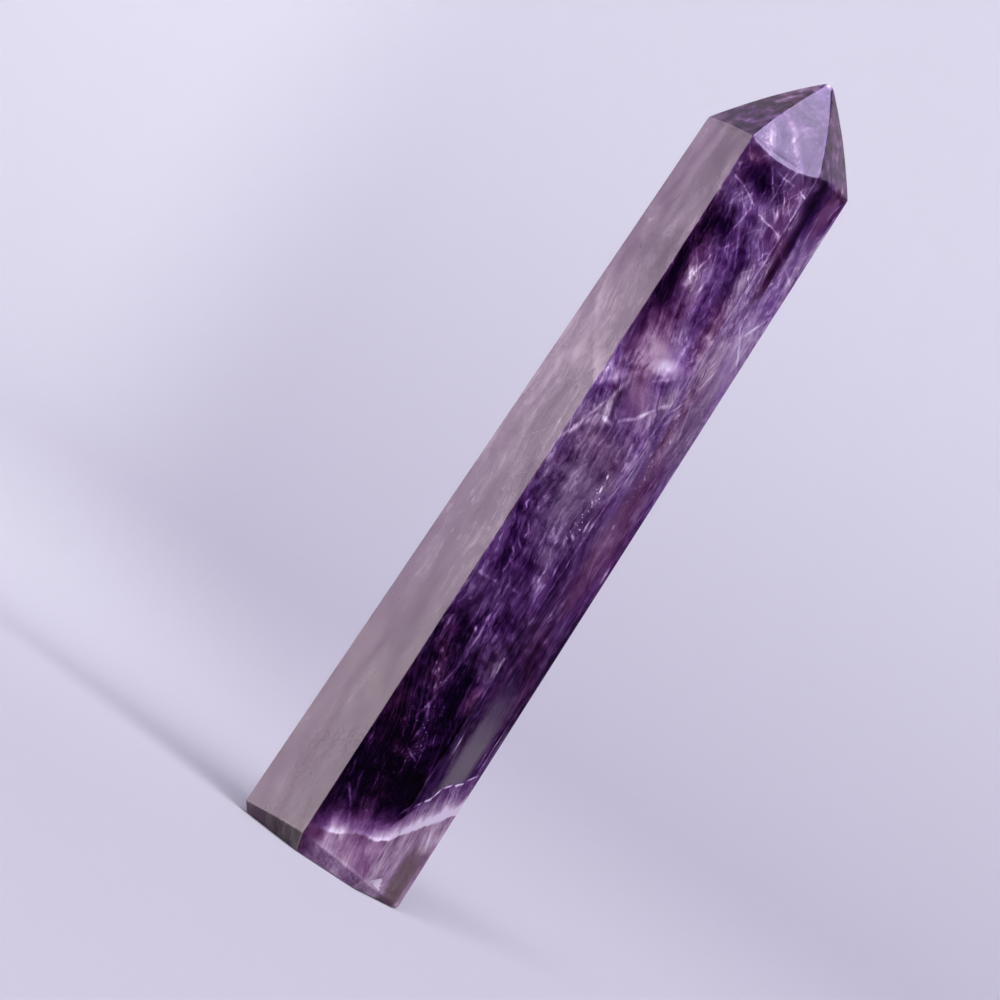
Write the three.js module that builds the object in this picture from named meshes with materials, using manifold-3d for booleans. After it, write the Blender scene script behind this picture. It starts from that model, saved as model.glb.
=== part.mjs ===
// Amethyst point: a six-sided amethyst tower, hand polished, with a six-faceted tip and a flat base.
// Millimetres, +Z up along the crystal. The base rests on z = 0 and the front face looks along -Y.
// It is built from six-cornered rings stacked from the base to the tip, and one chip is cut from the base.

import * as THREE from "three";
import { ConvexGeometry } from "three/addons/geometries/ConvexGeometry.js";
import { mergeVertices } from "three/addons/utils/BufferGeometryUtils.js";
import Module from "manifold-3d";

// The stone as a whole
const TIP = new THREE.Vector3(0.7, 0, 150);
const SHOULDER_HEIGHT = 135.3;
const FACE_TURN = Math.PI / 3;
const FRONT_AZIMUTH = -Math.PI / 2;

// Each side face's distance from the Z axis, at the base and at the shoulder. The stone is a little
// narrower at the top. The faces are 60 degrees apart, as on any quartz crystal, but not equally wide.
const SIDE_FACES = [
  { side: "front", atBase: 14.0, atShoulder: 11.6 },
  { side: "front right", atBase: 12.7, atShoulder: 11.1 },
  { side: "back right", atBase: 13.55, atShoulder: 11.95 },
  { side: "back", atBase: 14.0, atShoulder: 11.9 },
  { side: "back left", atBase: 14.1, atShoulder: 11.55 },
  { side: "front left", atBase: 11.95, atShoulder: 11.4 },
];

// Each corner lies between a side face and the next one in the list above. The bevel round the base was
// ground by hand, so its height varies, and so does the height where the side faces end at the tip.
const CORNERS = [
  { between: "front and front right", bevel: 2.0, shoulder: 135.4 },
  { between: "front right and back right", bevel: 0.6, shoulder: 135.9 },
  { between: "back right and back", bevel: 0.9, shoulder: 135.2 },
  { between: "back and back left", bevel: 1.2, shoulder: 134.8 },
  { between: "back left and front left", bevel: 1.6, shoulder: 134.7 },
  { between: "front left and front", bevel: 3.2, shoulder: 135.2 },
];
const BEVEL_SLOPE = 0.8; // how far the bevel goes inwards, for each millimetre of its height

// The tip's facets are polished slightly domed, so their edges bow outwards, and the very tip is blunt.
const TIP_BOW = 0.6;
const TIP_STEPS = [0.2, 0.4, 0.6, 0.8, 0.93];

// The chip in the base edge, on the front right face. Each point of it is a distance along that face from
// its front corner, a height, and a depth under the face. A negative depth is outside the stone.
const CHIP_POINTS = [
  { along: 0.3, height: 1.9, depth: -0.3 },
  { along: 8.0, height: 1.3, depth: -0.3 },
  { along: 5.9, height: 3.7, depth: -0.3 },
  { along: 4.8, height: 0.8, depth: -0.3 },
  { along: 4.8, height: 2.1, depth: 0.7 },
];
const CHIPPED_FACE = 1;

// The azimuth of a side face's outward normal.
function faceAzimuth(face) {
  return FRONT_AZIMUTH + face * FACE_TURN;
}

// How far a side face is from the Z axis at a height: a straight taper.
function faceReach(face, z) {
  const { atBase, atShoulder } = SIDE_FACES[face % SIDE_FACES.length];
  return THREE.MathUtils.lerp(atBase, atShoulder, z / SHOULDER_HEIGHT);
}

// The point at a height where a side face meets the next one: where two straight lines cross.
function cornerAt(corner, z) {
  const a = faceAzimuth(corner);
  const b = faceAzimuth(corner + 1);
  const reachA = faceReach(corner, z);
  const reachB = faceReach(corner + 1, z);
  const turn = Math.sin(b - a);
  return new THREE.Vector3(
    (reachA * Math.sin(b) - reachB * Math.sin(a)) / turn,
    (reachB * Math.cos(a) - reachA * Math.cos(b)) / turn,
    z,
  );
}

// The outline of the flat base: each corner is drawn in towards the axis by its bevel.
function baseRing() {
  return CORNERS.map(({ bevel }, corner) => {
    const point = cornerAt(corner, 0);
    const length = point.length();
    return point.multiplyScalar((length - bevel * BEVEL_SLOPE) / length);
  });
}

// A ring of the tip, at a share of the way from the shoulder to the tip, bowed outwards.
function tipRing(share) {
  const bow = TIP_BOW * 4 * share * (1 - share);
  return CORNERS.map(({ shoulder }, corner) => {
    const foot = cornerAt(corner, shoulder);
    const outward = foot.clone().sub(TIP).setZ(0).normalize();
    return foot.lerp(TIP, share).addScaledVector(outward, bow);
  });
}

// Two triangles for each side between a ring and the one above it.
function bandBetween(lower, upper) {
  return lower.flatMap((point, corner) => {
    const next = (corner + 1) % lower.length;
    return [point, lower[next], upper[next], point, upper[next], upper[corner]];
  });
}

// Triangles from a ring to one point, anticlockwise seen from that point's side.
function fanTo(point, ring) {
  return ring.flatMap((from, corner) => [from, ring[(corner + 1) % ring.length], point]);
}

// The whole stone before the chip, as one closed surface.
function stoneGeometry() {
  const rings = [
    baseRing(),
    CORNERS.map(({ bevel }, corner) => cornerAt(corner, bevel)),
    CORNERS.map(({ shoulder }, corner) => cornerAt(corner, shoulder)),
    ...TIP_STEPS.map(tipRing),
  ];
  const bands = rings.slice(1).flatMap((upper, below) => bandBetween(rings[below], upper));
  const baseFan = fanTo(new THREE.Vector3(0, 0, 0), [...rings[0]].reverse());
  const tipFan = fanTo(TIP, rings.at(-1));
  return new THREE.BufferGeometry().setFromPoints([...baseFan, ...bands, ...tipFan]);
}

// The volume that the chip took away: the hull of its five points, placed from the face's front corner.
function chipGeometry() {
  const azimuth = faceAzimuth(CHIPPED_FACE);
  const outward = new THREE.Vector3(Math.cos(azimuth), Math.sin(azimuth), 0);
  const alongFace = new THREE.Vector3(-Math.sin(azimuth), Math.cos(azimuth), 0);
  const points = CHIP_POINTS.map(({ along, height, depth }) =>
    cornerAt(CHIPPED_FACE - 1, height)
      .addScaledVector(alongFace, along)
      .addScaledVector(outward, -depth),
  );
  return new ConvexGeometry(points);
}

const wasm = await Module();
wasm.setup();

// A closed geometry as a solid that can be cut.
function solidOf(geometry) {
  const bare = geometry.clone();
  bare.deleteAttribute("normal");
  bare.deleteAttribute("uv");
  const merged = mergeVertices(bare, 1e-4);
  return new wasm.Manifold(
    new wasm.Mesh({
      numProp: 3,
      vertProperties: merged.attributes.position.array,
      triVerts: new Uint32Array(merged.index.array),
    }),
  );
}

// A solid's surface as a flat-shaded geometry.
function geometryOf(solid) {
  const { vertProperties, triVerts } = solid.getMesh();
  const indexed = new THREE.BufferGeometry()
    .setAttribute("position", new THREE.BufferAttribute(vertProperties, 3))
    .setIndex(new THREE.BufferAttribute(triVerts, 1));
  const faceted = indexed.toNonIndexed();
  faceted.computeVertexNormals();
  return faceted;
}

// Polished, translucent purple quartz.
const amethyst = new THREE.MeshStandardMaterial({ color: 0x4b2c70, roughness: 0.08, metalness: 0 });

const chippedStone = solidOf(stoneGeometry()).subtract(solidOf(chipGeometry()));
const amethystPoint = new THREE.Mesh(geometryOf(chippedStone), amethyst);
amethystPoint.name = "amethyst_point";

const part = new THREE.Group();
part.add(amethystPoint);

export default part;
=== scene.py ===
"""Amethyst point: a hand-polished amethyst tower, standing on its flat base.

The stone is one closed surface, worked out from its side faces, tip facets, bevel and base. Sizes are in
millimetres in the formulas and become metres when a mesh is made.
"""

import math

import bpy
import numpy as np
from mathutils import Matrix, Vector


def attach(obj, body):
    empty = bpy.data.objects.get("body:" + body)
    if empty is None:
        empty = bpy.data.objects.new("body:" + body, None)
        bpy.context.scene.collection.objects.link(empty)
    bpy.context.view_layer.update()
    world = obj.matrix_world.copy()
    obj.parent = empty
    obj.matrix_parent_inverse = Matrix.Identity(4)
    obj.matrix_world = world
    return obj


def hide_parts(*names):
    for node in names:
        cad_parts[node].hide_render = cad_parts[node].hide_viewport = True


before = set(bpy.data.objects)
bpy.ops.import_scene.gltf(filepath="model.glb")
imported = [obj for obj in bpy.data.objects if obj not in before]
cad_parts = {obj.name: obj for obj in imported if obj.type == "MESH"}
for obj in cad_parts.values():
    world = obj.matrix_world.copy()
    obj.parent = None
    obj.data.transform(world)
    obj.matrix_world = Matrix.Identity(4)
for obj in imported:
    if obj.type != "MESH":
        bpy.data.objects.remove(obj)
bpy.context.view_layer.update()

MM = 0.001

# The stone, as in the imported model. Lists start at the front face (-Y) and go round to the right.
TIP = np.array([0.7, 0.0, 150.0])
SHOULDER_HEIGHT = 135.3
FACES = np.arange(6)
FACE_AZIMUTHS = np.radians(-90.0 + 60.0 * FACES)
FACE_OUTWARD = np.stack([np.cos(FACE_AZIMUTHS), np.sin(FACE_AZIMUTHS), 0 * FACE_AZIMUTHS], axis=-1)
FACE_ALONG = np.stack([-np.sin(FACE_AZIMUTHS), np.cos(FACE_AZIMUTHS), 0 * FACE_AZIMUTHS], axis=-1)
UP = np.array([0.0, 0.0, 1.0])
REACH_AT_BASE = np.array([14.0, 12.7, 13.55, 14.0, 14.1, 11.95])
REACH_AT_SHOULDER = np.array([11.6, 11.1, 11.95, 11.9, 11.55, 11.4])
CORNER_SHOULDERS = np.array([135.4, 135.9, 135.2, 134.8, 134.7, 135.2])
CORNER_BEVELS = np.array([2.0, 0.6, 0.9, 1.2, 1.6, 3.2])
BEVEL_SLOPE = 0.8

# The polish: how much each face is rounded, and how sharp the edges are left.
FACE_PILLOW = 0.05
FACET_DOME = 0.45
EDGE_SOFTNESS = 0.045
TIP_SOFTNESS = 0.25
SHARP_TIP_RISE = 0.15
# How wide the band along each edge is: it dulls the polish there and is painted paler, a painted highlight
# along the edges.
EDGE_HIGHLIGHT_AND_WEAR = 0.35

# The front and back tip facets meet in a short ridge rather than a point: how far it runs either side.
RIDGE_LEFT = -0.75
RIDGE_RIGHT = 0.20

# The front tip facet is a little hollow along its lower edge, so that the edge hangs in its middle.
HOLLOW_DEPTH = 1.0
HOLLOW_HEIGHT = 9.0

# The faces that the features below are placed on, by their place in the lists above.
FRONT = 0
RIGHT = 1
LEFT = 5

# The chip in the base edge, on the front right face: the corners of its rim and its deepest point, each as
# (distance from the face's front corner, height), and how deep that point is.
CHIP_RIM = [(0.9, 2.0), (7.6, 1.5), (6.0, 3.8)]
CHIP_DEEPEST = (4.8, 2.1)
CHIP_DEPTH = 0.7
CHIP_EDGE = 0.05

# Each face has its own stretch of the third coordinate, so a feature on one can't reach the next.
FACE_GAP = 100.0

# How pale each face is, zone by zone up its height: a clear foot, a paler middle, and darker again below
# the shoulder. The foot of the left face is pale too. Faces that aren't listed are like the front.
VEIL_BY_HEIGHT = {
    FRONT: {0: 0.20, 15: 0.10, 40: 0.24, 70: 0.48, 92: 0.55, 120: 0.38, 150: 0.40},
    RIGHT: {0: 0.30, 40: 0.30, 60: 0.42, 110: 0.78, 130: 0.40, 138: 0.28, 150: 0.42},
    LEFT: {0: 0.50, 35: 0.50, 45: 0.44, 90: 0.68, 100: 0.60, 112: 0.35, 134: 0.42, 137: 0.22, 150: 0.50},
}

# Single veins and specks, some of them painted glints and edge reflections: face, the two ends as (across
# the face, height), half width, and how much veil.
VEINS_AND_GLINTS = [
    # Threads below the shoulder, over the darkest part.
    (FRONT, (-1.8, 133.8), (2.5, 127.8), 0.30, 0.38),
    (FRONT, (2.5, 127.8), (4.3, 125.2), 0.27, 0.29),
    (FRONT, (-0.5, 132.6), (4.2, 132.2), 0.27, 0.28),
    (FRONT, (4.2, 132.3), (7.4, 131.0), 0.30, 0.35),
    (FRONT, (-6.3, 128.7), (-3.2, 127.9), 0.32, 0.35),
    (FRONT, (-3.4, 128.0), (-0.1, 126.1), 0.32, 0.36),
    (FRONT, (3.3, 127.7), (4.1, 125.9), 0.32, 0.46),
    (FRONT, (0.9, 125.4), (5.9, 124.2), 0.34, 0.36),
    (FRONT, (5.1, 124.3), (6.5, 124.2), 0.68, 0.30),
    (FRONT, (-0.4, 122.3), (2.6, 116.2), 0.32, 0.36),
    (FRONT, (-0.2, 127.4), (-1.4, 116.7), 0.27, 0.29),
    (FRONT, (-1.4, 116.7), (-2.5, 110.4), 0.27, 0.28),
    (FRONT, (-4.9, 123.0), (-4.6, 115.9), 0.23, 0.25),
    (FRONT, (-3.6, 125.4), (-2.5, 119.9), 0.23, 0.25),
    (FRONT, (1.9, 131.8), (5.1, 126.7), 0.27, 0.29),
    (FRONT, (5.6, 131.9), (6.4, 124.5), 0.32, 0.35),
    # Lines among the plumes, and the bright one that runs up from the bright patch.
    (FRONT, (-0.1, 111.2), (-0.2, 109.3), 0.33, 0.34),
    (FRONT, (4.6, 110.5), (5.2, 103.5), 0.28, 0.17),
    (FRONT, (3.0, 104.0), (3.4, 97.5), 0.43, 0.26),
    (FRONT, (4.4, 96.0), (1.2, 93.2), 0.43, 0.22),
    # The outlines of the broken pieces below it.
    (FRONT, (-1.5, 91.9), (-2.5, 87.9), 0.60, 0.32),
    (FRONT, (-2.5, 87.9), (-1.6, 84.6), 0.75, 0.44),
    (FRONT, (-1.7, 84.7), (-0.3, 84.3), 0.60, 0.38),
    (FRONT, (6.1, 92.0), (4.8, 90.6), 0.45, 0.26),
    (FRONT, (4.8, 90.6), (2.1, 86.6), 0.40, 0.34),
    (FRONT, (2.4, 87.1), (0.7, 85.6), 0.50, 0.34),
    (FRONT, (-2.9, 87.4), (-4.2, 82.8), 0.38, 0.32),
    (FRONT, (-4.0, 83.1), (-5.9, 78.2), 0.45, 0.40),
    (FRONT, (-2.6, 85.2), (-4.6, 80.3), 0.28, 0.16),
    (FRONT, (5.8, 88.7), (6.7, 80.4), 0.28, 0.19),
    # Chips in a row, painted bright as glints, and a bright line beside them.
    (FRONT, (3.8, 77.4), (4.0, 76.6), 0.27, 0.65),
    (FRONT, (4.1, 75.3), (4.3, 74.2), 0.25, 0.56),
    (FRONT, (3.9, 72.6), (4.5, 71.8), 0.34, 0.43),
    (FRONT, (5.4, 70.0), (5.5, 67.0), 0.27, 0.56),
    (FRONT, (4.3, 66.3), (4.7, 65.7), 0.48, 0.47),
    (FRONT, (3.7, 65.1), (4.0, 63.8), 0.39, 0.38),
    (FRONT, (6.2, 71.1), (6.4, 64.8), 0.23, 0.19),
    (FRONT, (5.0, 61.1), (5.4, 58.7), 0.25, 0.25),
    # Squiggles on the left.
    (FRONT, (-3.3, 68.0), (-2.2, 66.2), 0.30, 0.30),
    (FRONT, (-2.8, 64.3), (-1.7, 62.7), 0.32, 0.38),
    (FRONT, (-1.7, 63.0), (-1.9, 61.6), 0.27, 0.30),
    (FRONT, (-2.7, 61.1), (-1.4, 59.8), 0.32, 0.45),
    (FRONT, (-3.0, 59.9), (-1.8, 58.3), 0.32, 0.40),
    (FRONT, (-1.9, 57.8), (-1.3, 57.0), 0.27, 0.30),
    (FRONT, (-1.8, 57.1), (-1.9, 54.8), 0.27, 0.28),
    (FRONT, (-4.6, 66.7), (-4.0, 65.4), 0.30, 0.25),
    # A faint broken level line, and threads in the dark below it.
    (FRONT, (-5.2, 53.1), (-3.2, 53.3), 0.45, 0.18),
    (FRONT, (-2.6, 53.4), (-0.9, 53.5), 0.45, 0.20),
    (FRONT, (0.2, 53.7), (2.3, 53.9), 0.45, 0.17),
    (FRONT, (0.4, 49.6), (0.7, 39.6), 0.30, 0.37),
    (FRONT, (0.7, 39.6), (-0.4, 33.2), 0.28, 0.31),
    (FRONT, (-0.6, 45.7), (-0.2, 44.7), 0.33, 0.59),
    (FRONT, (-3.2, 40.0), (-3.0, 39.0), 0.43, 0.31),
    (FRONT, (-1.0, 34.7), (-0.6, 33.8), 0.47, 0.33),
    (FRONT, (0.3, 33.4), (-0.7, 28.2), 0.28, 0.37),
    (FRONT, (0.0, 31.3), (1.2, 27.8), 0.30, 0.42),
    (FRONT, (1.2, 27.8), (0.7, 24.0), 0.28, 0.34),
    (FRONT, (0.7, 23.8), (3.6, 21.9), 0.30, 0.42),
    (FRONT, (6.4, 26.5), (6.5, 17.0), 0.25, 0.33),
    (FRONT, (-4.0, 13.9), (-1.6, 10.7), 0.38, 0.42),
    (FRONT, (-1.6, 10.7), (-0.4, 7.9), 0.40, 0.20),
    (FRONT, (-5.5, 23.7), (-4.4, 20.7), 0.30, 0.33),
    # The right face: from the knot, beside the edge, and the two that meet at the far edge.
    (RIGHT, (-6.0, 122.8), (0.5, 121.0), 0.43, 0.22),
    (RIGHT, (0.5, 121.0), (7.1, 119.0), 0.43, 0.22),
    (RIGHT, (-5.9, 123.6), (-2.8, 113.8), 0.33, 0.24),
    (RIGHT, (-2.8, 113.8), (-0.6, 107.2), 0.33, 0.21),
    (RIGHT, (7.3, 114.0), (0.8, 107.4), 0.53, 0.27),
    (RIGHT, (0.4, 107.9), (6.9, 102.5), 0.40, 0.24),
    (RIGHT, (-3.7, 110.4), (1.2, 106.9), 0.35, 0.18),
    (RIGHT, (6.6, 135.6), (4.5, 132.3), 0.35, 0.28),
    # The two that cross beside the bright patch, and specks painted bright as glints.
    (RIGHT, (-2.1, 102.3), (-3.0, 100.2), 0.35, 0.30),
    (RIGHT, (-4.9, 101.1), (-2.0, 95.6), 0.33, 0.21),
    (RIGHT, (0.5, 102.7), (-2.6, 95.1), 0.38, 0.22),
    (RIGHT, (-2.6, 95.1), (-8.1, 89.6), 0.40, 0.27),
    (RIGHT, (-2.3, 95.9), (3.5, 85.4), 0.38, 0.17),
    (RIGHT, (-2.9, 92.0), (-3.3, 90.9), 0.35, 0.38),
    (RIGHT, (-0.7, 87.6), (0.0, 87.0), 0.35, 0.34),
    (RIGHT, (-3.9, 84.5), (-4.0, 83.2), 0.33, 0.38),
    (RIGHT, (-1.3, 71.4), (-1.0, 70.6), 0.35, 0.34),
    (RIGHT, (-7.2, 88.0), (-5.6, 72.0), 0.33, 0.18),
    (RIGHT, (-6.0, 86.5), (-3.8, 74.5), 0.28, 0.17),
    # Lines along the far edge, painted pale and dark as reflections of that edge; the last two lie by the
    # near edge.
    (RIGHT, (6.5, 66.1), (6.5, 62.0), 0.33, 0.45),
    (RIGHT, (7.0, 61.6), (7.0, 38.7), 0.88, -0.36),
    (RIGHT, (5.7, 44.4), (5.5, 24.0), 0.56, -0.30),
    (RIGHT, (6.3, 37.4), (6.2, 25.3), 0.28, 0.36),
    (RIGHT, (7.4, 35.9), (7.4, 27.0), 0.30, 0.42),
    (RIGHT, (-6.3, 30.8), (-6.2, 26.0), 0.35, 0.42),
    (RIGHT, (-5.4, 29.0), (-4.6, 23.5), 0.30, 0.28),
    # Below the band.
    (RIGHT, (2.4, 14.6), (6.1, 9.9), 0.50, 0.20),
    (RIGHT, (-8.3, 9.0), (-5.8, 3.3), 0.43, 0.20),
    # The left face: a thread, and three glints.
    (LEFT, (5.6, 79.4), (-1.4, 74.6), 0.35, 0.18),
    (LEFT, (5.5, 80.8), (5.6, 80.0), 0.45, 0.34),
    (LEFT, (-2.6, 62.7), (-2.6, 62.0), 0.43, 0.40),
    (LEFT, (-2.6, 56.8), (-2.6, 56.1), 0.43, 0.40),
    # The veils of the front tip facet.
    (FRONT, (-3.3, 142.2), (3.4, 134.4), 1.10, 0.36),
    (FRONT, (-5.4, 139.6), (-2.3, 134.2), 1.30, 0.40),
    (FRONT, (-0.4, 140.4), (2.1, 142.8), 0.70, 0.20),
]

# The crack above the milky band, told in the same way.
CRACK = [
    (RIGHT, (7.0, 25.6), (4.0, 23.6), 0.30, 0.70),
    (RIGHT, (4.2, 23.2), (0.7, 22.1), 0.30, 0.80),
    (RIGHT, (0.7, 22.1), (-2.2, 20.9), 0.34, 1.10),
    (RIGHT, (-2.1, 21.0), (-3.6, 18.6), 0.32, 1.10),
    (RIGHT, (-3.6, 18.6), (-5.4, 17.6), 0.30, 0.80),
    (RIGHT, (-5.4, 17.6), (-7.8, 15.8), 0.28, 0.60),
    (FRONT, (6.6, 16.2), (5.6, 13.7), 0.28, 0.50),
]

# Soft plumes and dark depths, and a painted highlight at the tip, told in the same way.
HAZES_AND_TIP_HIGHLIGHT = [
    # Below the shoulder: a dark net, with a paler right side.
    (FRONT, (-3.8, 130.2), (2.0, 129.4), 3.2, -0.40),
    (FRONT, (-4.2, 121.3), (0.6, 119.8), 3.2, -0.30),
    (FRONT, (5.0, 131.0), (6.0, 123.9), 2.2, 0.22),
    (FRONT, (5.0, 117.0), (5.2, 113.0), 1.4, 0.30),
    # Plumes above the bright patch, and the dark strip on its left.
    (FRONT, (-2.4, 112.7), (-0.4, 107.6), 1.5, 0.20),
    (FRONT, (5.3, 112.3), (5.9, 106.3), 1.4, 0.26),
    (FRONT, (5.6, 106.3), (6.3, 98.1), 1.7, 0.18),
    (FRONT, (-5.6, 126.0), (-5.0, 97.0), 2.6, -0.46),
    # The bright patch, and the pale end of the dark strip.
    (FRONT, (-1.7, 101.6), (-0.4, 96.0), 3.0, 0.24),
    (FRONT, (0.0, 97.0), (4.4, 98.6), 4.0, 0.26),
    (FRONT, (1.0, 96.2), (4.0, 97.2), 2.0, 0.32),
    (FRONT, (-5.4, 91.0), (-3.2, 91.6), 1.9, 0.26),
    (FRONT, (4.9, 95.7), (6.3, 90.0), 1.8, 0.18),
    # The soft middle: lilac above, darker on the left below.
    (FRONT, (6.3, 65.6), (6.7, 50.4), 1.1, 0.18),
    # The dark below, crossed by a plum plume, with blobs on the right.
    (FRONT, (-1.5, 46.9), (-0.2, 38.8), 2.0, -0.20),
    (FRONT, (2.5, 43.3), (3.3, 28.5), 2.5, -0.26),
    (FRONT, (5.8, 44.4), (5.8, 39.6), 1.2, 0.36),
    (FRONT, (5.9, 38.9), (5.1, 33.2), 0.9, 0.32),
    (FRONT, (-1.5, 22.0), (2.6, 17.0), 5.4, -0.24),
    # The right face: a dark strip below the shoulder with a plum patch beside it, then pale plumes.
    (RIGHT, (-3.8, 135.4), (-3.0, 127.6), 3.0, -0.46),
    (RIGHT, (-3.0, 127.4), (-2.4, 111.1), 2.6, -0.46),
    (RIGHT, (3.0, 135.1), (2.5, 130.5), 3.0, 0.24),
    (RIGHT, (7.3, 134.7), (7.3, 123.0), 1.8, 0.34),
    (RIGHT, (3.5, 126.9), (3.7, 114.8), 3.4, 0.20),
    (RIGHT, (-2.5, 92.0), (-2.1, 82.4), 2.4, -0.20),
    (RIGHT, (-1.4, 48.7), (3.4, 41.4), 3.4, -0.16),
    (RIGHT, (-6.8, 29.3), (-4.7, 23.5), 1.8, 0.16),
    (RIGHT, (4.6, 11.0), (7.2, 13.6), 2.0, 0.20),
    # The left face: a lilac smudge, and the pale place above the slanting edge.
    (LEFT, (2.1, 119.0), (2.3, 115.4), 1.1, 0.22),
    (LEFT, (4.6, 93.0), (7.0, 90.0), 1.9, 0.24),
    # The bright lower corner of the front tip facet, its clearer middle, and a painted highlight that makes
    # the very tip white.
    (FRONT, (-5.2, 137.0), (-3.0, 135.6), 2.6, 0.16),
    (FRONT, (0.2, 149.7), (0.8, 149.9), 1.0, 0.75),
]

# Places where the violet turns to plum and beige, told in the same way.
PLUM_PLACES = [
    (FRONT, (-5.6, 133.0), (-2.4, 132.6), 1.80, 1.04),
    (FRONT, (4.6, 112.3), (6.3, 98.1), 2.76, 1.30),
    (FRONT, (-2.4, 102.7), (-1.0, 93.1), 3.12, 1.30),
    (FRONT, (-0.7, 92.7), (2.4, 88.3), 3.84, 0.78),
    (FRONT, (-4.8, 43.8), (-0.1, 32.2), 2.16, 0.91),
    (FRONT, (4.6, 20.5), (5.5, 17.6), 1.80, 1.04),
    (FRONT, (5.8, 37.9), (5.1, 33.2), 1.44, 1.04),
    (FRONT, (-5.0, 30.0), (-4.0, 22.0), 2.88, 0.78),
    (FRONT, (-4.5, 82.0), (4.0, 78.0), 4.32, 0.52),
    (RIGHT, (3.0, 135.4), (2.4, 130.2), 3.60, 1.82),
    (RIGHT, (-3.2, 125.7), (-2.9, 112.1), 3.12, 1.04),
    (RIGHT, (-4.6, 107.2), (-1.8, 95.3), 4.08, 1.17),
    (RIGHT, (-2.5, 94.8), (-2.1, 82.4), 3.36, 1.30),
    (RIGHT, (0.7, 86.0), (0.9, 56.0), 6.00, 1.70),
    (RIGHT, (-1.4, 48.7), (3.4, 41.4), 4.32, 1.04),
    (RIGHT, (0.0, 150.0), (0.0, 138.0), 7.0, 0.6),
    (LEFT, (0.0, 150.0), (0.0, 138.0), 7.0, 0.7),
]

# Places where the violet turns to a greyish lilac, told in the same way.
SMOKY_PLACES = [
    (FRONT, (5.0, 117.5), (5.0, 112.9), 2.07, 1.17),
    (FRONT, (-2.4, 112.7), (-0.6, 107.6), 2.07, 1.04),
    (FRONT, (5.3, 112.3), (5.9, 106.3), 1.84, 0.78),
    (FRONT, (4.9, 95.7), (6.3, 90.0), 2.42, 0.91),
    (FRONT, (-2.0, 92.7), (-2.1, 84.6), 1.61, 1.04),
    (FRONT, (-0.5, 83.1), (1.8, 64.8), 7.36, 1.43),
    (FRONT, (5.8, 44.4), (5.8, 39.6), 1.95, 1.17),
    (FRONT, (-2.6, 140.6), (2.2, 136.4), 5.5, 0.8),
    (FRONT, (-5.2, 138.0), (-3.2, 135.2), 3.0, 1.0),
    (RIGHT, (2.3, 98.4), (5.0, 82.2), 5.06, 1.56),
    (RIGHT, (-6.3, 30.8), (-5.0, 23.5), 2.07, 1.04),
    (RIGHT, (6.4, 58.0), (6.8, 28.0), 2.99, 1.30),
]

# Places where the stone is smooth, without fibres, told in the same way.
SMOOTH_PLACES = [
    (FRONT, (-1.5, 99.0), (4.0, 97.0), 4.2, 0.8),
    (FRONT, (0.6, 91.5), (2.0, 88.5), 3.6, 0.9),
    (FRONT, (-4.5, 104.0), (-4.5, 97.0), 2.6, 0.5),
    (RIGHT, (-2.4, 92.0), (0.8, 56.0), 6.0, 0.8),
    (RIGHT, (-3.6, 133.0), (-3.0, 114.0), 3.0, 0.7),
    (RIGHT, (3.0, 135.0), (2.5, 128.0), 3.0, 0.6),
    (RIGHT, (2.0, 108.0), (3.0, 86.0), 6.0, 0.7),
    (FRONT, (0.0, 82.0), (1.0, 66.0), 6.5, 0.45),
]

# Sets of fine threads: direction, middle height and half height of their zone, and amount.
THREADS = [
    ((0, 34, 12), 122.0, 17.0, 0.27),
    ((0, -30, 50), 126.0, 13.0, 0.24),
    ((0, 10, 120), 58.0, 52.0, 0.18),
]

# Zones of tiny bright flake specks, painted white as glints: face, ends, half width and amount.
GLINT_FLAKES = [
    (FRONT, (4.0, 78.0), (4.4, 63.0), 1.50, 0.90),
    (FRONT, (0.0, 44.0), (2.0, 12.0), 6.50, 0.54),
    (RIGHT, (-2.5, 96.0), (-1.0, 70.0), 2.50, 0.72),
]

# The milky band near the foot: a point on its lower edge, the way it faces, and how thick it is.
BAND_POINT = (4.3, -13.8, 8.5)
BAND_NORMAL = (-0.43, -0.36, 1.0)
BAND_CORE = 6.0
BAND_HAZE = 6.5

# Mauve stone fills the wedge between the band and the crack. The crack turns where its two planes cross.
CRACK_TURN = (RIGHT, -2.7, 20.3)
CRACK_NORMALS = [(-2.2, 0.0, 1.0), (0.0, -0.61, 1.0)]

# The edge of a paler part that slants across the left face and under the bright patch.
SLANT_POINT = (-6.1, -12.4, 88.2)
SLANT_NORMAL = (-0.86, -1.59, 1.0)

# Clear places low on the right face, where the eye sees through to the far side: opposite corners, how much
# of them is soft edge, how strong they are, and colour. The first is above the milky band, the other below.
# Both are equally cloudy.
WINDOWS = [
    ((-5.2, 0.0), (5.4, 45.0), (0.60, 0.75), 0.95, (0.40, 0.33, 0.40)),
    ((-1.0, -9.0), (8.0, 13.0), (0.55, 0.50), 0.75, (0.27, 0.17, 0.165)),
]
WINDOW_CLOUD = 0.36

# The stone's colour as the veil thickens, from violet depth to white. Then the same in plum and in
# greyish lilac.
VIOLET_VEIL = {
    0.0: (0.05, 0.010, 0.085), 0.2: (0.184, 0.033, 0.298), 0.4: (0.281, 0.088, 0.438),
    0.6: (0.384, 0.173, 0.57), 0.8: (0.511, 0.319, 0.618), 1.0: (0.75, 0.64, 0.84),
}
PLUM_VEIL = {
    0.0: (0.055, 0.012, 0.06), 0.2: (0.262, 0.048, 0.212), 0.4: (0.375, 0.106, 0.345),
    0.6: (0.495, 0.250, 0.500), 0.8: (0.610, 0.420, 0.600), 1.0: (0.76, 0.64, 0.81),
}
SMOKY_VEIL = {
    0.0: (0.05, 0.015, 0.07), 0.2: (0.205, 0.076, 0.229), 0.4: (0.314, 0.158, 0.409),
    0.6: (0.429, 0.273, 0.488), 0.8: (0.538, 0.408, 0.575), 1.0: (0.73, 0.64, 0.81),
}

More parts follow.
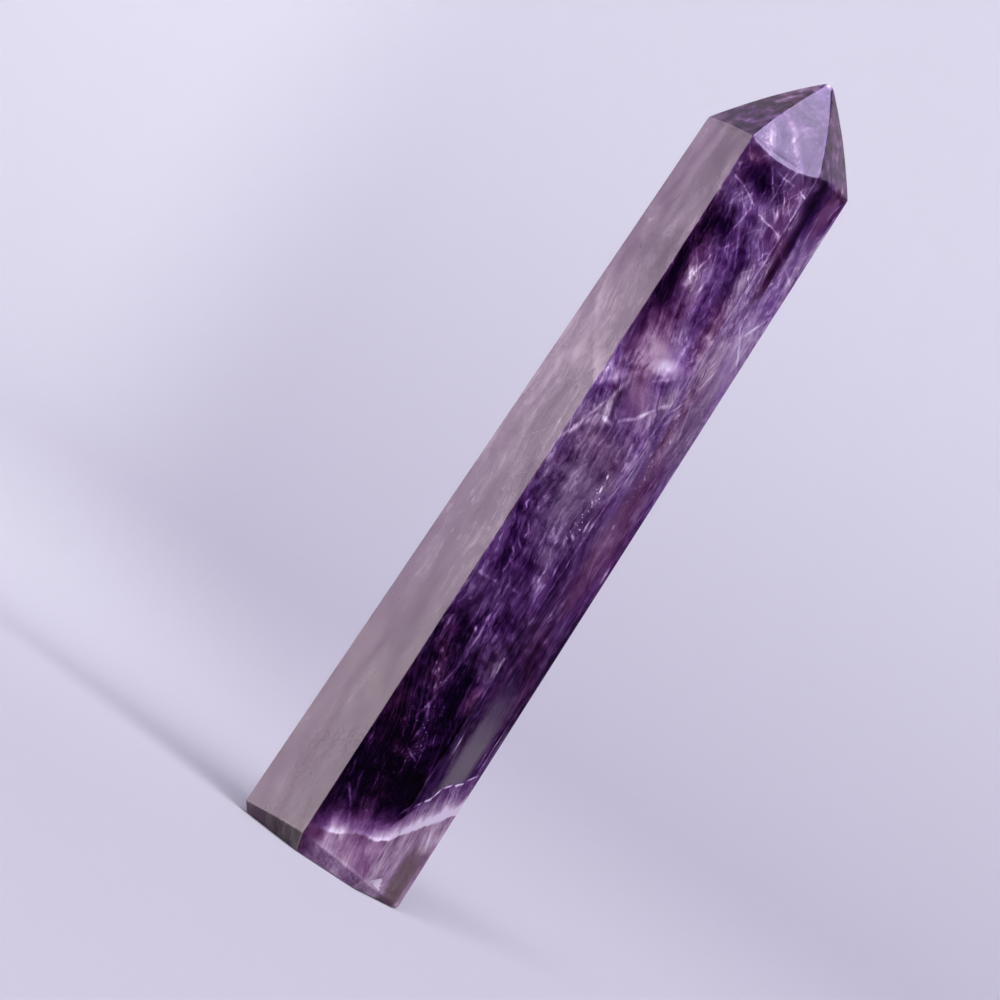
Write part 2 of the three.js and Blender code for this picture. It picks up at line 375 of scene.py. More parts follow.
# Painted reflection on the left face, standing in for the glare it shows, by share of the stone's height:
# yellowish grey low down and pinkish grey above.
LEFT_GLARE_TONES = {
    0.0: (0.42, 0.38, 0.31), 0.22: (0.46, 0.42, 0.33), 0.34: (0.48, 0.41, 0.41), 1.0: (0.54, 0.41, 0.48),
}

# What quartz does to light, and the violet that deep amethyst leaves of it.
QUARTZ_IOR = 1.55
ABSORPTION_COLOR = (0.35, 0.05, 0.45, 1)
ABSORPTION_DENSITY = 190.0


def corner_at(corner, z):
    """Where a side face meets the next one at a height: the crossing of the two faces' straight lines."""
    following = (corner + 1) % len(FACES)
    share = z / SHOULDER_HEIGHT
    reach_a = REACH_AT_BASE[corner] + (REACH_AT_SHOULDER[corner] - REACH_AT_BASE[corner]) * share
    reach_b = REACH_AT_BASE[following] + (REACH_AT_SHOULDER[following] - REACH_AT_BASE[following]) * share
    a = FACE_AZIMUTHS[corner]
    b = FACE_AZIMUTHS[following]
    turn = np.sin(b - a)
    x = (reach_a * np.sin(b) - reach_b * np.sin(a)) / turn
    y = (reach_b * np.cos(a) - reach_a * np.cos(b)) / turn
    return np.stack(np.broadcast_arrays(x, y, z), axis=-1)


def on_stone(face, across, height):
    """The point at a distance across a side face, or across the tip facet above it, and at a height."""
    heights = [0.0, SHOULDER_HEIGHT, TIP[2]]
    reach = np.interp(height, heights, [REACH_AT_BASE[face], REACH_AT_SHOULDER[face], 0.0])
    return reach * FACE_OUTWARD[face] + across * FACE_ALONG[face] + height * UP


def unit(vectors):
    """Each vector divided by its length."""
    return vectors / np.linalg.norm(vectors, axis=-1, keepdims=True)


def plane_through(a, b, c):
    """Unit normals and offsets of the planes through three points, anticlockwise seen from outside."""
    normals = unit(np.cross(b - a, c - a))
    return normals, np.sum(normals * a, axis=-1)


def circle_through(a, b, c):
    """Centre and squared radius of the circle through three points."""
    ab = b - a
    ac = c - a
    across = np.cross(ab, ac)
    ab2 = np.sum(ab * ab, axis=-1, keepdims=True)
    ac2 = np.sum(ac * ac, axis=-1, keepdims=True)
    spread = 2.0 * np.sum(across * across, axis=-1, keepdims=True)
    offset = (np.cross(across, ab) * ac2 + np.cross(ac, across) * ab2) / spread
    return a + offset, np.sum(offset * offset, axis=-1)


def side_planes():
    """Normals and offsets of the six side faces, which lean in a little towards the tip."""
    lean = (REACH_AT_BASE - REACH_AT_SHOULDER) / SHOULDER_HEIGHT
    normals = FACE_OUTWARD + np.outer(lean, UP)
    length = np.linalg.norm(normals, axis=-1)
    return normals / length[:, None], REACH_AT_BASE / length


def distance_to(planes, origins, rays):
    """How far each ray goes before each plane, one row a plane, or a long way if it never meets it."""
    normals, offsets = planes
    closing = normals @ rays.T
    gap = offsets[:, None] - normals @ origins.T
    meets = closing > 1e-6
    return np.where(meets, gap / np.where(meets, closing, 1.0), 1e3), np.where(meets, closing, 1.0)


def fan(start, end, count, endpoint=False):
    """Evenly spaced tilts between two, given in degrees."""
    return np.radians(np.linspace(start, end, count, endpoint=endpoint))


def ring_plan():
    """The heights and tilts of the rays for each ring, from the base up to the tip.

    The rays start on the upright line through the tip. Near the base and the tip they fan out from one
    point, and between them they lie level. Rings are closest where the surface turns.
    """
    low = 10.0
    high = 128.0
    down = np.concatenate([fan(-84, -43, 8), fan(-43, -26, 50), fan(-26, 0, 12)])
    level = np.linspace(low, high, 60)
    up = np.concatenate([fan(2, 26, 12), fan(26, 35, 30), fan(35, 84, 26), fan(84, 89.6, 12, True)])
    starts = np.concatenate([np.full(len(down), low), level, np.full(len(up), high)])
    tilts = np.concatenate([down, np.zeros(len(level)), up])
    return starts, tilts


def column_azimuths(heights, per_face):
    """The azimuth of each point of each ring. The points crowd towards the edges between the faces.

    On a face, a point is at the share s - 0.9 sin(2 pi s) / (2 pi) of the way from one edge to the next.
    """
    z = np.clip(heights, 0.0, SHOULDER_HEIGHT)[:, None]
    corners = corner_at(FACES[None, :], z) - TIP
    azimuth = np.unwrap(np.arctan2(corners[..., 1], corners[..., 0]), axis=1)
    before = np.concatenate([azimuth[:, -1:] - 2 * np.pi, azimuth[:, :-1]], axis=1)
    s = np.arange(per_face) / per_face
    share = s - 0.9 * np.sin(2 * np.pi * s) / (2 * np.pi)
    return (before[:, :, None] + (azimuth - before)[:, :, None] * share).reshape(len(heights), -1)


def chip_distance(origins, rays):
    """How far each ray goes before it enters the chip: past the planes it nears, before those it leaves."""
    distances, heights = np.array(CHIP_RIM + [CHIP_DEEPEST]).T
    points = corner_at(FRONT, heights) + np.outer(distances, FACE_ALONG[RIGHT])
    deepest = points[-1] - FACE_OUTWARD[RIGHT] * CHIP_DEPTH
    rim = points[:-1]
    normals, offsets = plane_through(deepest, rim, np.roll(rim, -1, axis=0))
    closing = normals @ rays.T
    at = (offsets[:, None] - normals @ origins.T) / closing
    enter = np.where(closing > 0, at, -1e3).max(axis=0)
    leave = np.where(closing < 0, at, 1e3).min(axis=0)
    return np.where((enter > 0) & (enter < leave), enter, 1e3)


def stone_points(origins, rays, softness):
    """Where each ray leaves the stone: the soft minimum of its distances to all the stone's planes.

    The soft minimum is -w log(sum of exp(-distance / w)), and w sets how rounded the edges are. A side
    face falls off by a pillow of (distance from its middle line / half its width) squared, and a tip
    facet rises by a dome of 1 - (distance from the middle / radius) squared through its three corners.
    With each point comes how near it is to an edge, whether it lies in the chip, and its place: across
    the face, height and the face's own stretch. A tip facet shares the stretch of the face below it.
    """
    corner = (FACES - 1) % len(FACES)
    shoulders_a = corner_at(corner, CORNER_SHOULDERS[corner])
    shoulders_b = corner_at(FACES, CORNER_SHOULDERS)
    ridge_middle = (RIDGE_LEFT + RIDGE_RIGHT) / 2
    ridge_x = np.array([ridge_middle, RIDGE_RIGHT, RIDGE_RIGHT, ridge_middle, RIDGE_LEFT, RIDGE_LEFT])
    tips = TIP + SHARP_TIP_RISE * UP + np.outer(ridge_x, [1.0, 0.0, 0.0])
    bevels_a = corner_at(corner, CORNER_BEVELS[corner])
    bevels_b = corner_at(FACES, CORNER_BEVELS)
    feet = corner_at(FACES, np.zeros(len(FACES)))
    lengths = np.linalg.norm(feet, axis=-1, keepdims=True)
    feet = feet * (1.0 - CORNER_BEVELS[:, None] * BEVEL_SLOPE / lengths)
    feet_middle = (feet + feet[corner]) / 2

    sides = side_planes()
    side_t, side_closing = distance_to(sides, origins, rays)
    hits = origins[None] + rays[None] * side_t[..., None]
    z = np.clip(hits[..., 2], 0.0, SHOULDER_HEIGHT)
    left = corner_at(corner[:, None], z)
    right = corner_at(FACES[:, None], z)
    half = np.linalg.norm(right - left, axis=-1) / 2
    from_middle = np.sum((hits - (left + right) / 2) * FACE_ALONG[:, None], axis=-1)
    side_t = side_t - FACE_PILLOW * np.minimum((from_middle / half) ** 2, 2.0) / side_closing

    facets = plane_through(shoulders_a, shoulders_b, tips)
    centres, radius2 = circle_through(shoulders_a, shoulders_b, tips)
    tip_t, tip_closing = distance_to(facets, origins, rays)
    hits = origins[None] + rays[None] * tip_t[..., None]
    from_centre2 = np.sum((hits - centres[:, None]) ** 2, axis=-1)
    rise = FACET_DOME * np.maximum(1.0 - from_centre2 / radius2[:, None], -1.0)
    middles = (shoulders_a + shoulders_b)[:1] / 2
    widths = np.linalg.norm(shoulders_b - shoulders_a, axis=-1)[:1]
    from_edge = hits[0] - middles
    across = np.clip(2.0 * np.abs(from_edge[:, 0]) / widths, 0.0, 1.0)
    up = np.clip(np.abs(from_edge[:, 2]) / HOLLOW_HEIGHT, 0.0, 1.0)
    rise[0] -= HOLLOW_DEPTH * (1.0 - across**2) * (1.0 - up) ** 2
    tip_t = tip_t + rise / tip_closing

    bevel_t, _ = distance_to(plane_through(bevels_a, feet_middle, bevels_b), origins, rays)
    base_t, _ = distance_to((-UP[None], np.zeros(1)), origins, rays)

    all_t = np.concatenate([side_t, tip_t, bevel_t, base_t])
    nearest, second = np.sort(all_t, axis=0)[:2]
    spread = np.sum(np.exp(-(all_t - nearest) / softness), axis=0)
    distance = nearest - softness * np.log(spread)
    chip_t = chip_distance(origins, rays)
    edge = np.clip(1.0 - (second - nearest) / EDGE_HIGHLIGHT_AND_WEAR, 0.0, 1.0)
    chip = np.clip((distance - chip_t) / CHIP_EDGE, 0.0, 1.0)
    points = origins + rays * np.minimum(distance, chip_t)[:, None]
    face = np.argmin(all_t, axis=0) % len(FACES)
    across = np.sum(points * FACE_ALONG[face], axis=-1)
    place = np.stack([across, points[:, 2], face * FACE_GAP], axis=-1)
    return points, edge, chip, place


def ring_indices(rings):
    """The index of each point of stacked closed rings, and that of the next point round its ring."""
    count, around = rings.shape[:2]
    index = np.arange(count * around).reshape(count, around)
    return index, np.roll(index, -1, axis=1)


def closed_rings(rings, bottom, top):
    """Vertices and faces of stacked closed rings with one point below them and one above."""
    index, turned = ring_indices(rings)
    around = index.shape[1]
    quads = np.stack([index[:-1], turned[:-1], turned[1:], index[1:]], axis=-1).reshape(-1, 4)
    below = index.size
    above = below + 1
    bottom_fan = np.stack([turned[0], index[0], np.full(around, below)], axis=-1)
    top_fan = np.stack([index[-1], turned[-1], np.full(around, above)], axis=-1)
    vertices = np.concatenate([rings.reshape(-1, 3), bottom[None], top[None]])
    return vertices, quads.tolist() + bottom_fan.tolist() + top_fan.tolist()


def mesh_object(name, vertices, faces, material):
    """A smooth-shaded object of the given vertices, in millimetres, at the origin."""
    mesh = bpy.data.meshes.new(name)
    mesh.from_pydata(vertices * MM, [], faces)
    mesh.shade_smooth()
    mesh.materials.append(material)
    obj = bpy.data.objects.new(name, mesh)
    bpy.context.scene.collection.objects.link(obj)
    return obj


def polished_stone(material):
    """The stone's whole surface, as rings of rays from the upright line through the tip."""
    starts, tilts = ring_plan()
    rough_heights = starts + np.tan(np.clip(tilts, -0.8, 0.6)) * 13.0
    azimuths = column_azimuths(rough_heights, per_face=56)
    around = azimuths.shape[1]
    tilt = np.repeat(tilts[:, None], around, axis=1)
    level = np.cos(tilt)
    rays = np.stack([level * np.cos(azimuths), level * np.sin(azimuths), np.sin(tilt)], axis=-1)
    origins = np.zeros_like(rays)
    origins[..., :2] = TIP[:2]
    origins[..., 2] = starts[:, None]
    near_tip = np.clip((np.degrees(tilt) - 60.0) / 25.0, 0.0, 1.0)
    softness = EDGE_SOFTNESS + (TIP_SOFTNESS - EDGE_SOFTNESS) * near_tip**2
    points, *marks = stone_points(origins.reshape(-1, 3), rays.reshape(-1, 3), softness.reshape(-1))
    poles = np.array([[TIP[0], TIP[1], starts[0]], [TIP[0], TIP[1], starts[-1]]])
    ends, *end_marks = stone_points(poles, np.stack([-UP, UP]), np.array([EDGE_SOFTNESS, TIP_SOFTNESS]))
    vertices, faces = closed_rings(points.reshape(rays.shape), ends[0], ends[1])
    stone = mesh_object("polished_stone", vertices, faces, material)
    edge, chip, place = (np.concatenate(pair) for pair in zip(marks, end_marks))
    attributes = stone.data.attributes
    for name, values in (("edge", edge), ("chip", chip)):
        attributes.new(name, "FLOAT", "POINT").data.foreach_set("value", values)
    attributes.new("place", "FLOAT_VECTOR", "POINT").data.foreach_set("vector", place.ravel())
    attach(stone, "root")
    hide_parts("amethyst_point")


class Pattern:
    """Adds nodes to a material or a world. Each method returns the socket that its result comes out of."""

    def __init__(self, tree):
        self.tree = tree

    def node(self, kind, inputs=None, **settings):
        node = self.tree.nodes.new("ShaderNode" + kind)
        for name, value in settings.items():
            setattr(node, name, value)
        for name, value in (inputs or {}).items():
            self.feed(node.inputs[name], value)
        return node

    def feed(self, socket, value):
        if isinstance(value, bpy.types.NodeSocket):
            self.tree.links.new(value, socket)
        else:
            socket.default_value = value

    def math(self, operation, a, b=0.0, third=0.0, clamp=False):
        node = self.node("Math", operation=operation, use_clamp=clamp)
        self.feed(node.inputs[0], a)
        self.feed(node.inputs[1], b)
        self.feed(node.inputs[2], third)
        return node.outputs[0]

    def add(self, *terms):
        total = terms[0]
        for term in terms[1:]:
            total = self.math("ADD", total, term)
        return total

    def times(self, *factors):
        product = factors[0]
        for factor in factors[1:]:
            product = self.math("MULTIPLY", product, factor)
        return product

    def one_less(self, value, clamp=False):
        return self.math("SUBTRACT", 1.0, value, clamp=clamp)

    def about_zero(self, value, gain):
        """A noise that runs about a half, moved to run about zero."""
        return self.math("MULTIPLY", self.math("SUBTRACT", value, 0.5), gain)

    def vector(self, operation, a, b=(0.0, 0.0, 0.0), third=(0.0, 0.0, 0.0), scale=None):
        node = self.node("VectorMath", operation=operation)
        self.feed(node.inputs[0], a)
        self.feed(node.inputs[1], b)
        self.feed(node.inputs[2], third)
        if scale is not None:
            self.feed(node.inputs["Scale"], scale)
        return node.outputs["Value"] if operation in ("DOT_PRODUCT", "LENGTH") else node.outputs[0]

    def place(self, vector, scale, turn=(0.0, 0.0, 0.0), move=(0.0, 0.0, 0.0)):
        turned = self.node("Mapping", {"Vector": vector, "Rotation": [math.radians(a) for a in turn],
                                       "Location": move})
        return self.vector("MULTIPLY", turned.outputs[0], scale)

    def noise(self, vector, scale, detail, roughness=0.5, color=False):
        node = self.node("TexNoise", {"Vector": vector, "Scale": scale, "Detail": detail,
                                      "Roughness": roughness})
        return node.outputs["Color" if color else "Fac"]

    def push(self, vector, scale, detail, reach):
        """A noise vector about zero, to push other patterns about with."""
        noise = self.noise(vector, scale, detail, color=True)
        return self.vector("SCALE", self.vector("SUBTRACT", noise, (0.5, 0.5, 0.5)), scale=reach)

    def ramp(self, value, low, high, start=0.0, end=1.0):
        node = self.node("MapRange", {"Value": value, "From Min": low, "From Max": high,
                                      "To Min": start, "To Max": end}, interpolation_type="SMOOTHSTEP")
        return node.outputs[0]

    def thread(self, value, width):
        """A thin line with soft sides where a noise crosses a half."""
        off_line = self.math("ABSOLUTE", self.math("SUBTRACT", value, 0.5))
        line = self.one_less(self.math("DIVIDE", off_line, width))
        return self.math("POWER", self.math("MAXIMUM", line, 0.0), 2.0)

    def colors(self, value, stops):
        """A colour ramp from a dictionary of position: colour."""
        node = self.node("ValToRGB", {"Fac": value})
        elements = node.color_ramp.elements
        while len(elements) < len(stops):
            elements.new(1.0)
        for element, (position, color) in zip(elements, sorted(stops.items())):
            element.position = position
            element.color = (*color, 1.0)
        return node.outputs["Color"]

    def mix(self, factor, a, b):
        node = self.node("Mix", data_type="RGBA")
        self.feed(node.inputs[0], factor)
        self.feed(node.inputs[6], a)
        self.feed(node.inputs[7], b)
        return node.outputs[2]

    def plane(self, vector, normal, through):
        """How far a point is above a plane."""
        facing = unit(np.array(normal, float))
        offset = float(facing @ np.array(through, float))
        return self.math("SUBTRACT", self.vector("DOT_PRODUCT", vector, tuple(facing)), offset)

    def streak(self, place, start, end, half_width):
        """A tapering streak between two places: 1 - distance / half size, never below zero."""
        run = end - start
        node = self.node("TexGradient", {"Vector": place}, gradient_type="SPHERICAL")
        mapping = node.texture_mapping
        mapping.vector_type = "TEXTURE"
        mapping.translation = (start + end) / 2
        mapping.rotation = (0.0, 0.0, math.atan2(run[1], run[0]))
        mapping.scale = (np.linalg.norm(run) / 2 + half_width, half_width, half_width)
        return node.outputs["Fac"]

    def pane(self, place, low, high, softness):
        """One inside a window between two opposite places, falling to zero at its sides."""
        middle = (low + high) / 2
        half = np.maximum((high - low) / 2, 1.0)
        share = self.vector("ABSOLUTE", self.vector("MULTIPLY_ADD", place, 1 / half, third=-middle / half))
        across, up, away = self.node("SeparateXYZ", {"Vector": share}).outputs
        return self.times(self.ramp(across, 1.0, 1.0 - softness[0]), self.ramp(up, 1.0, 1.0 - softness[1]),
                          self.math("LESS_THAN", away, 1.0))


def face_place(face, across, height):
    """A place on a face as the material knows it: across, height, and the face's own stretch."""
    return np.array([across, height, face * FACE_GAP])


def new_material(name):
    """A material, the pattern that adds nodes to it, and its shader."""
    material = bpy.data.materials.new(name)
    material.use_nodes = True
    return material, Pattern(material.node_tree), material.node_tree.nodes["Principled BSDF"]


def veil_shapes(pattern, place, rows, total=0.0):
    """A running total, with each streak of a table added in its own amount."""
    for face, a, b, half_width, amount in rows:
        shape = pattern.streak(place, face_place(face, *a), face_place(face, *b), half_width)
        total = pattern.math("MULTIPLY_ADD", shape, amount, third=total)
    return total


def by_height(pattern, height, levels):
    """A grey level looked up by height."""
    return pattern.colors(pattern.times(height, 1 / TIP[2]), {
        position / TIP[2]: (level,) * 3 for position, level in levels.items()})


def on_face(pattern, stretch, face):
    """One on a face and the facet above it, zero elsewhere."""
    return pattern.math("COMPARE", stretch, face * FACE_GAP, third=FACE_GAP / 2)


def milky_band(pattern, grain):
    """The band near the foot. Returns its own veil, and factors for the wedge, for below and near it."""
    over = pattern.add(pattern.plane(grain.frayed, BAND_NORMAL, BAND_POINT),
                       pattern.about_zero(grain.clouds, 2.4))
    above = pattern.ramp(over, -0.25, 0.25)
    below = pattern.one_less(above)
    near = pattern.math("MAXIMUM", below, pattern.ramp(over, BAND_HAZE, 2.0))
    rightwards = pattern.ramp(grain.x, 0.0, 13.0, 0.56, 0.68)
    inner = pattern.ramp(grain.x, -8.0, -2.0)
    fade = pattern.one_less(pattern.math("DIVIDE", over, BAND_CORE), clamp=True)
    cloudiness = pattern.ramp(grain.clouds, 0.35, 0.65, 0.8, 1.25)
    core = pattern.times(above, fade, fade, rightwards, cloudiness)
    halo = pattern.times(above, pattern.ramp(over, BAND_HAZE, 0.0), 0.15)
    wedge = pattern.times(above, pattern.ramp(grain.x, 5.0, 6.5))
    for normal in CRACK_NORMALS:
        under_crack = pattern.ramp(pattern.plane(grain.frayed, normal, on_stone(*CRACK_TURN)), 0.1, -0.1)
        wedge = pattern.times(wedge, under_crack)
    band = pattern.times(pattern.add(core, halo, pattern.times(below, 0.46)), inner)
    return pattern.add(band, pattern.times(wedge, 0.20)), wedge, below, near


def along_fibres(pattern, place, height):
    """A place moved sideways by how far the fibres lean at its height, so that they run along its Z.

    They lean most below the shoulder and near the foot, and hardly at all in the middle: the move is
    -0.15 height - 1.5 sin(2 pi (height - 115) / 95).
    """
    turn = pattern.times(pattern.math("SUBTRACT", height, 115.0), 2 * math.pi / 95.0)
    lean = pattern.add(pattern.times(height, -0.15), pattern.times(pattern.math("SINE", turn), -1.5))
    return pattern.vector("SUBTRACT", place, pattern.node("CombineXYZ", {"X": lean}).outputs[0])


class Grain:
    """The places, masks and noises that the stone's patterns share, as sockets of its material."""

    def __init__(self, pattern):
        self.point = pattern.vector("SCALE", pattern.node("TexCoord").outputs["Object"], scale=1 / MM)
        self.x, _, self.height = pattern.node("SeparateXYZ", {"Vector": self.point}).outputs
        self.place = pattern.node("Attribute", attribute_name="place").outputs["Vector"]
        self.edge = pattern.node("Attribute", attribute_name="edge").outputs["Fac"]
        self.chip = pattern.node("Attribute", attribute_name="chip").outputs["Fac"]

        self.fray = pattern.push(self.point, 0.6, 2.0, 1.05)
        self.frayed = pattern.vector("MULTIPLY_ADD", self.fray, (0.6,) * 3, third=self.point)
        swayed = pattern.vector("ADD", self.point, pattern.push(self.point, 0.05, 1.0, 7.0))
        jagged = pattern.vector("MULTIPLY_ADD", self.fray, (0.6,) * 3, third=swayed)
        self.along = along_fibres(pattern, jagged, self.height)
        self.plumes = pattern.noise(pattern.place(self.along, (0.30, 0.30, 0.06)), 1.0, 3.0, 0.5)
        fine = pattern.place(self.along, (2.0, 2.0, 0.13), move=(9, 4, 0))
        self.strands = pattern.noise(fine, 1.0, 2.0, 0.65)
        finest = pattern.place(self.along, (3.5, 3.5, 0.19), move=(5, 1, 7))
        self.hairs = pattern.noise(finest, 1.0, 2.0, 0.6)
        cloudy = pattern.place(swayed, (0.20, 0.20, 0.12), move=(3, 8, 5))
        self.clouds = pattern.noise(cloudy, 1.0, 3.0, 0.5)

        # Places on the faces, frayed for the veins, and for the plumes drawn out a little along the fibres.
        self.thready = pattern.vector("MULTIPLY_ADD", self.fray, (0.6, 0.6, 0.0), third=self.place)
        ragged = pattern.node("CombineXYZ", {"X": pattern.about_zero(self.plumes, 2.4),
                                             "Y": pattern.about_zero(self.strands, 0.9)})
        self.feathery = pattern.vector("ADD", self.thready, ragged.outputs[0])

        stretch = pattern.node("SeparateXYZ", {"Vector": self.place}).outputs["Z"]
        self.right_face = on_face(pattern, stretch, RIGHT)
        self.left_face = on_face(pattern, stretch, LEFT)
        self.left_side = pattern.times(self.left_face, pattern.ramp(self.height, 137.0, 134.0))
        off_front = pattern.math("GREATER_THAN", stretch, 1.0)
        self.tip_sides = pattern.times(pattern.ramp(self.height, 134.0, 136.5), off_front)


def broad_veil(pattern, grain):
    """The veil without its fine lines: each face's level by height, made uneven, with the plumes and the
    painted highlight at the tip.
    """
    veil = by_height(pattern, grain.height, VEIL_BY_HEIGHT[FRONT])
    for mask, face in ((grain.right_face, RIGHT), (grain.left_face, LEFT)):
        veil = pattern.mix(mask, veil, by_height(pattern, grain.height, VEIL_BY_HEIGHT[face]))
    uneven = pattern.add(pattern.about_zero(grain.plumes, 0.60), pattern.about_zero(grain.clouds, 0.40))
    left_gain = pattern.times(grain.left_side, pattern.ramp(grain.height, 40.0, 60.0, -0.10, 0.5))
    livelier = pattern.add(1.0, left_gain, pattern.ramp(grain.height, 112.0, 118.0, 0.0, 0.5))
    mottled = pattern.times(pattern.vector("DOT_PRODUCT", grain.fray, (0.6,) * 3), grain.tip_sides)
    veil = pattern.add(veil, pattern.times(uneven, livelier), mottled)
    return veil_shapes(pattern, grain.feathery, HAZES_AND_TIP_HIGHLIGHT, veil)


def fine_lines(pattern, grain, veil, near):
    """A veil with its fibres and threads added. They fade where the stone is pale, smooth or near the band.

    The long threads run where stretched noises cross a half, each set with its own direction.
    """
    calm = pattern.add(pattern.ramp(veil, 0.55, 1.0, 0.0, 0.5), pattern.times(near, 0.5),
                       pattern.ramp(grain.height, 114.0, 122.0, 0.0, 0.25),
                       pattern.times(grain.left_side, pattern.ramp(grain.height, 35.0, 60.0, 0.75, 0.40)),
                       pattern.times(grain.tip_sides, 0.6),
                       veil_shapes(pattern, grain.place, SMOOTH_PLACES))
    stir = pattern.math("MAXIMUM", pattern.one_less(calm), 0.12)
    fibres = pattern.add(pattern.about_zero(grain.strands, 0.70),
                         pattern.ramp(grain.hairs, 0.52, 0.80, -0.04, 0.22),
                         pattern.vector("DOT_PRODUCT", grain.fray, (0.26,) * 3))
    veil = pattern.add(veil, pattern.times(fibres, stir))
    gaps = pattern.ramp(pattern.noise(grain.point, 0.3, 1.0), 0.35, 0.6)
    for turned, middle, reach, amount in THREADS:
        drawn_out = pattern.place(grain.frayed, (0.40, 0.40, 0.06), turn=turned, move=turned)
        lines = pattern.thread(pattern.noise(drawn_out, 1.0, 2.0, 0.5), 0.035)
        off_middle = pattern.math("ABSOLUTE", pattern.math("SUBTRACT", grain.height, middle))
        zone = pattern.ramp(off_middle, reach, reach * 0.6)
        veil = pattern.add(veil, pattern.times(lines, zone, gaps, stir, amount))
    return veil


def single_marks(pattern, grain, veil, crack):
    """A veil with the crack, the single veins and the bright flake specks added, with painted glints among
    them, and the slanting edge, pale above.
    """
    veil = veil_shapes(pattern, grain.thready, VEINS_AND_GLINTS, pattern.add(veil, crack))
    # Painted glints: tiny bright specks where a fine noise peaks, inside the flake zones.
    sparks = pattern.ramp(pattern.noise(grain.frayed, 2.6, 1.0), 0.67, 0.72)
    flakes = pattern.times(sparks, veil_shapes(pattern, grain.place, GLINT_FLAKES))
    slant = pattern.plane(grain.frayed, SLANT_NORMAL, SLANT_POINT)
    above_slant = pattern.times(pattern.ramp(slant, -0.3, 0.3), pattern.ramp(slant, 4.5, 0.0),
                                pattern.ramp(grain.x, 1.0, -5.0), 0.16)
    return pattern.add(veil, flakes, above_slant)


def stone_tone(pattern, grain, veil, wedge, below, near):
    """The stone's colour: violet, plum or greyish lilac by place, and a painted reflection in greyish tones
    over the left face.
    """
    drift = pattern.noise(pattern.place(grain.along, (0.16, 0.16, 0.04), move=(40, 2, 9)), 1.0, 2.0)
    plum = veil_shapes(pattern, grain.feathery, PLUM_PLACES, pattern.ramp(drift, 0.45, 0.70, 0.0, 0.6))
    foot_plum = pattern.add(pattern.times(near, 0.35), pattern.times(below, 0.6), pattern.times(wedge, 0.2))
    plum = pattern.math("MINIMUM", pattern.add(plum, foot_plum), 1.0)
    paler = pattern.ramp(grain.clouds, 0.46, 0.62, 0.0, 0.4)
    smoky = veil_shapes(pattern, grain.feathery, SMOKY_PLACES, paler)
    tone = pattern.colors(veil, VIOLET_VEIL)
    tone = pattern.mix(pattern.math("MINIMUM", smoky, 1.0), tone, pattern.colors(veil, SMOKY_VEIL))
    tone = pattern.mix(plum, tone, pattern.colors(veil, PLUM_VEIL))
    # Painted reflection: the left face is mostly turned to greyish tones that stand in for its glare.
    left_glare_tone = pattern.colors(pattern.times(grain.height, 1 / TIP[2]), LEFT_GLARE_TONES)
    return pattern.mix(pattern.times(grain.left_side, 0.9), tone, left_glare_tone)


def clear_windows(pattern, grain, tone, cloudy, wedge, below, crack):
    """The colour and cloudiness with the clear places mixed in, one above the band and one below it."""
    around_marks = pattern.times(pattern.one_less(wedge), pattern.ramp(crack, 0.25, 0.0))
    sides = (pattern.one_less(below), below)
    for (low, high, softness, strength, window_tone), side in zip(WINDOWS, sides):
        pane = pattern.pane(grain.place, face_place(RIGHT, *low), face_place(RIGHT, *high), softness)
        window = pattern.times(pane, side, around_marks, strength)
        tone = pattern.mix(window, tone, (*window_tone, 1.0))
        cloudy = pattern.add(cloudy, pattern.times(window, pattern.math("SUBTRACT", WINDOW_CLOUD, cloudy)))
    return tone, cloudy


def polish(pattern, grain, shader):
    """The wheel's fine lines, and a polish that is dullest along the edges and in the chip."""
    lines = pattern.noise(pattern.place(grain.point, (0.2, 0.2, 5.0), turn=(0, 35, 20)), 1.0, 0.0)
    relief = pattern.node("Bump", {"Height": lines, "Strength": 0.012, "Distance": 0.2 * MM})
    pattern.feed(shader.inputs["Normal"], relief.outputs[0])
    handled = pattern.ramp(grain.clouds, 0.35, 0.65, 0.015, 0.035)
    dull = pattern.add(handled, pattern.times(grain.edge, 0.08), pattern.times(grain.chip, 0.3))
    pattern.feed(shader.inputs["Roughness"], dull)


def amethyst_material():
    """Polished amethyst: deep violet, with feathery veils, fine threads and a milky band near the base.

    One value, the veil, says how much pale stuff the stone holds at a point, and also carries the painted
    highlights along the edges, at the tip and in the glints. It sets both how much light passes and,
    through three ramps, how pale the stone is. Where it is low, the eye sees into the stone.
    """
    material, pattern, shader = new_material("amethyst")
    grain = Grain(pattern)
    band, wedge, below, near = milky_band(pattern, grain)
    crack = veil_shapes(pattern, grain.thready, CRACK)
    veil = fine_lines(pattern, grain, broad_veil(pattern, grain), near)
    veil = single_marks(pattern, grain, veil, crack)
    # The edges are painted paler here: a painted highlight along each edge.
    veil = pattern.add(veil, band, pattern.times(grain.edge, 0.10))
    veil = pattern.math("MAXIMUM", pattern.math("MAXIMUM", veil, grain.chip), 0.0)

    tone = stone_tone(pattern, grain, veil, wedge, below, near)
    cloudy = pattern.times(pattern.math("POWER", pattern.math("MINIMUM", veil, 1.0), 1.8), 0.93)
    tone, cloudy = clear_windows(pattern, grain, tone, cloudy, wedge, below, crack)

    pattern.feed(shader.inputs["Base Color"], tone)
    pattern.feed(shader.inputs["Transmission Weight"], pattern.one_less(cloudy))
    shader.inputs["IOR"].default_value = QUARTZ_IOR
    polish(pattern, grain, shader)
    absorb = pattern.node("VolumeAbsorption", {"Color": ABSORPTION_COLOR, "Density": ABSORPTION_DENSITY})
    pattern.feed(material.node_tree.nodes["Material Output"].inputs["Volume"], absorb.outputs[0])
    return material


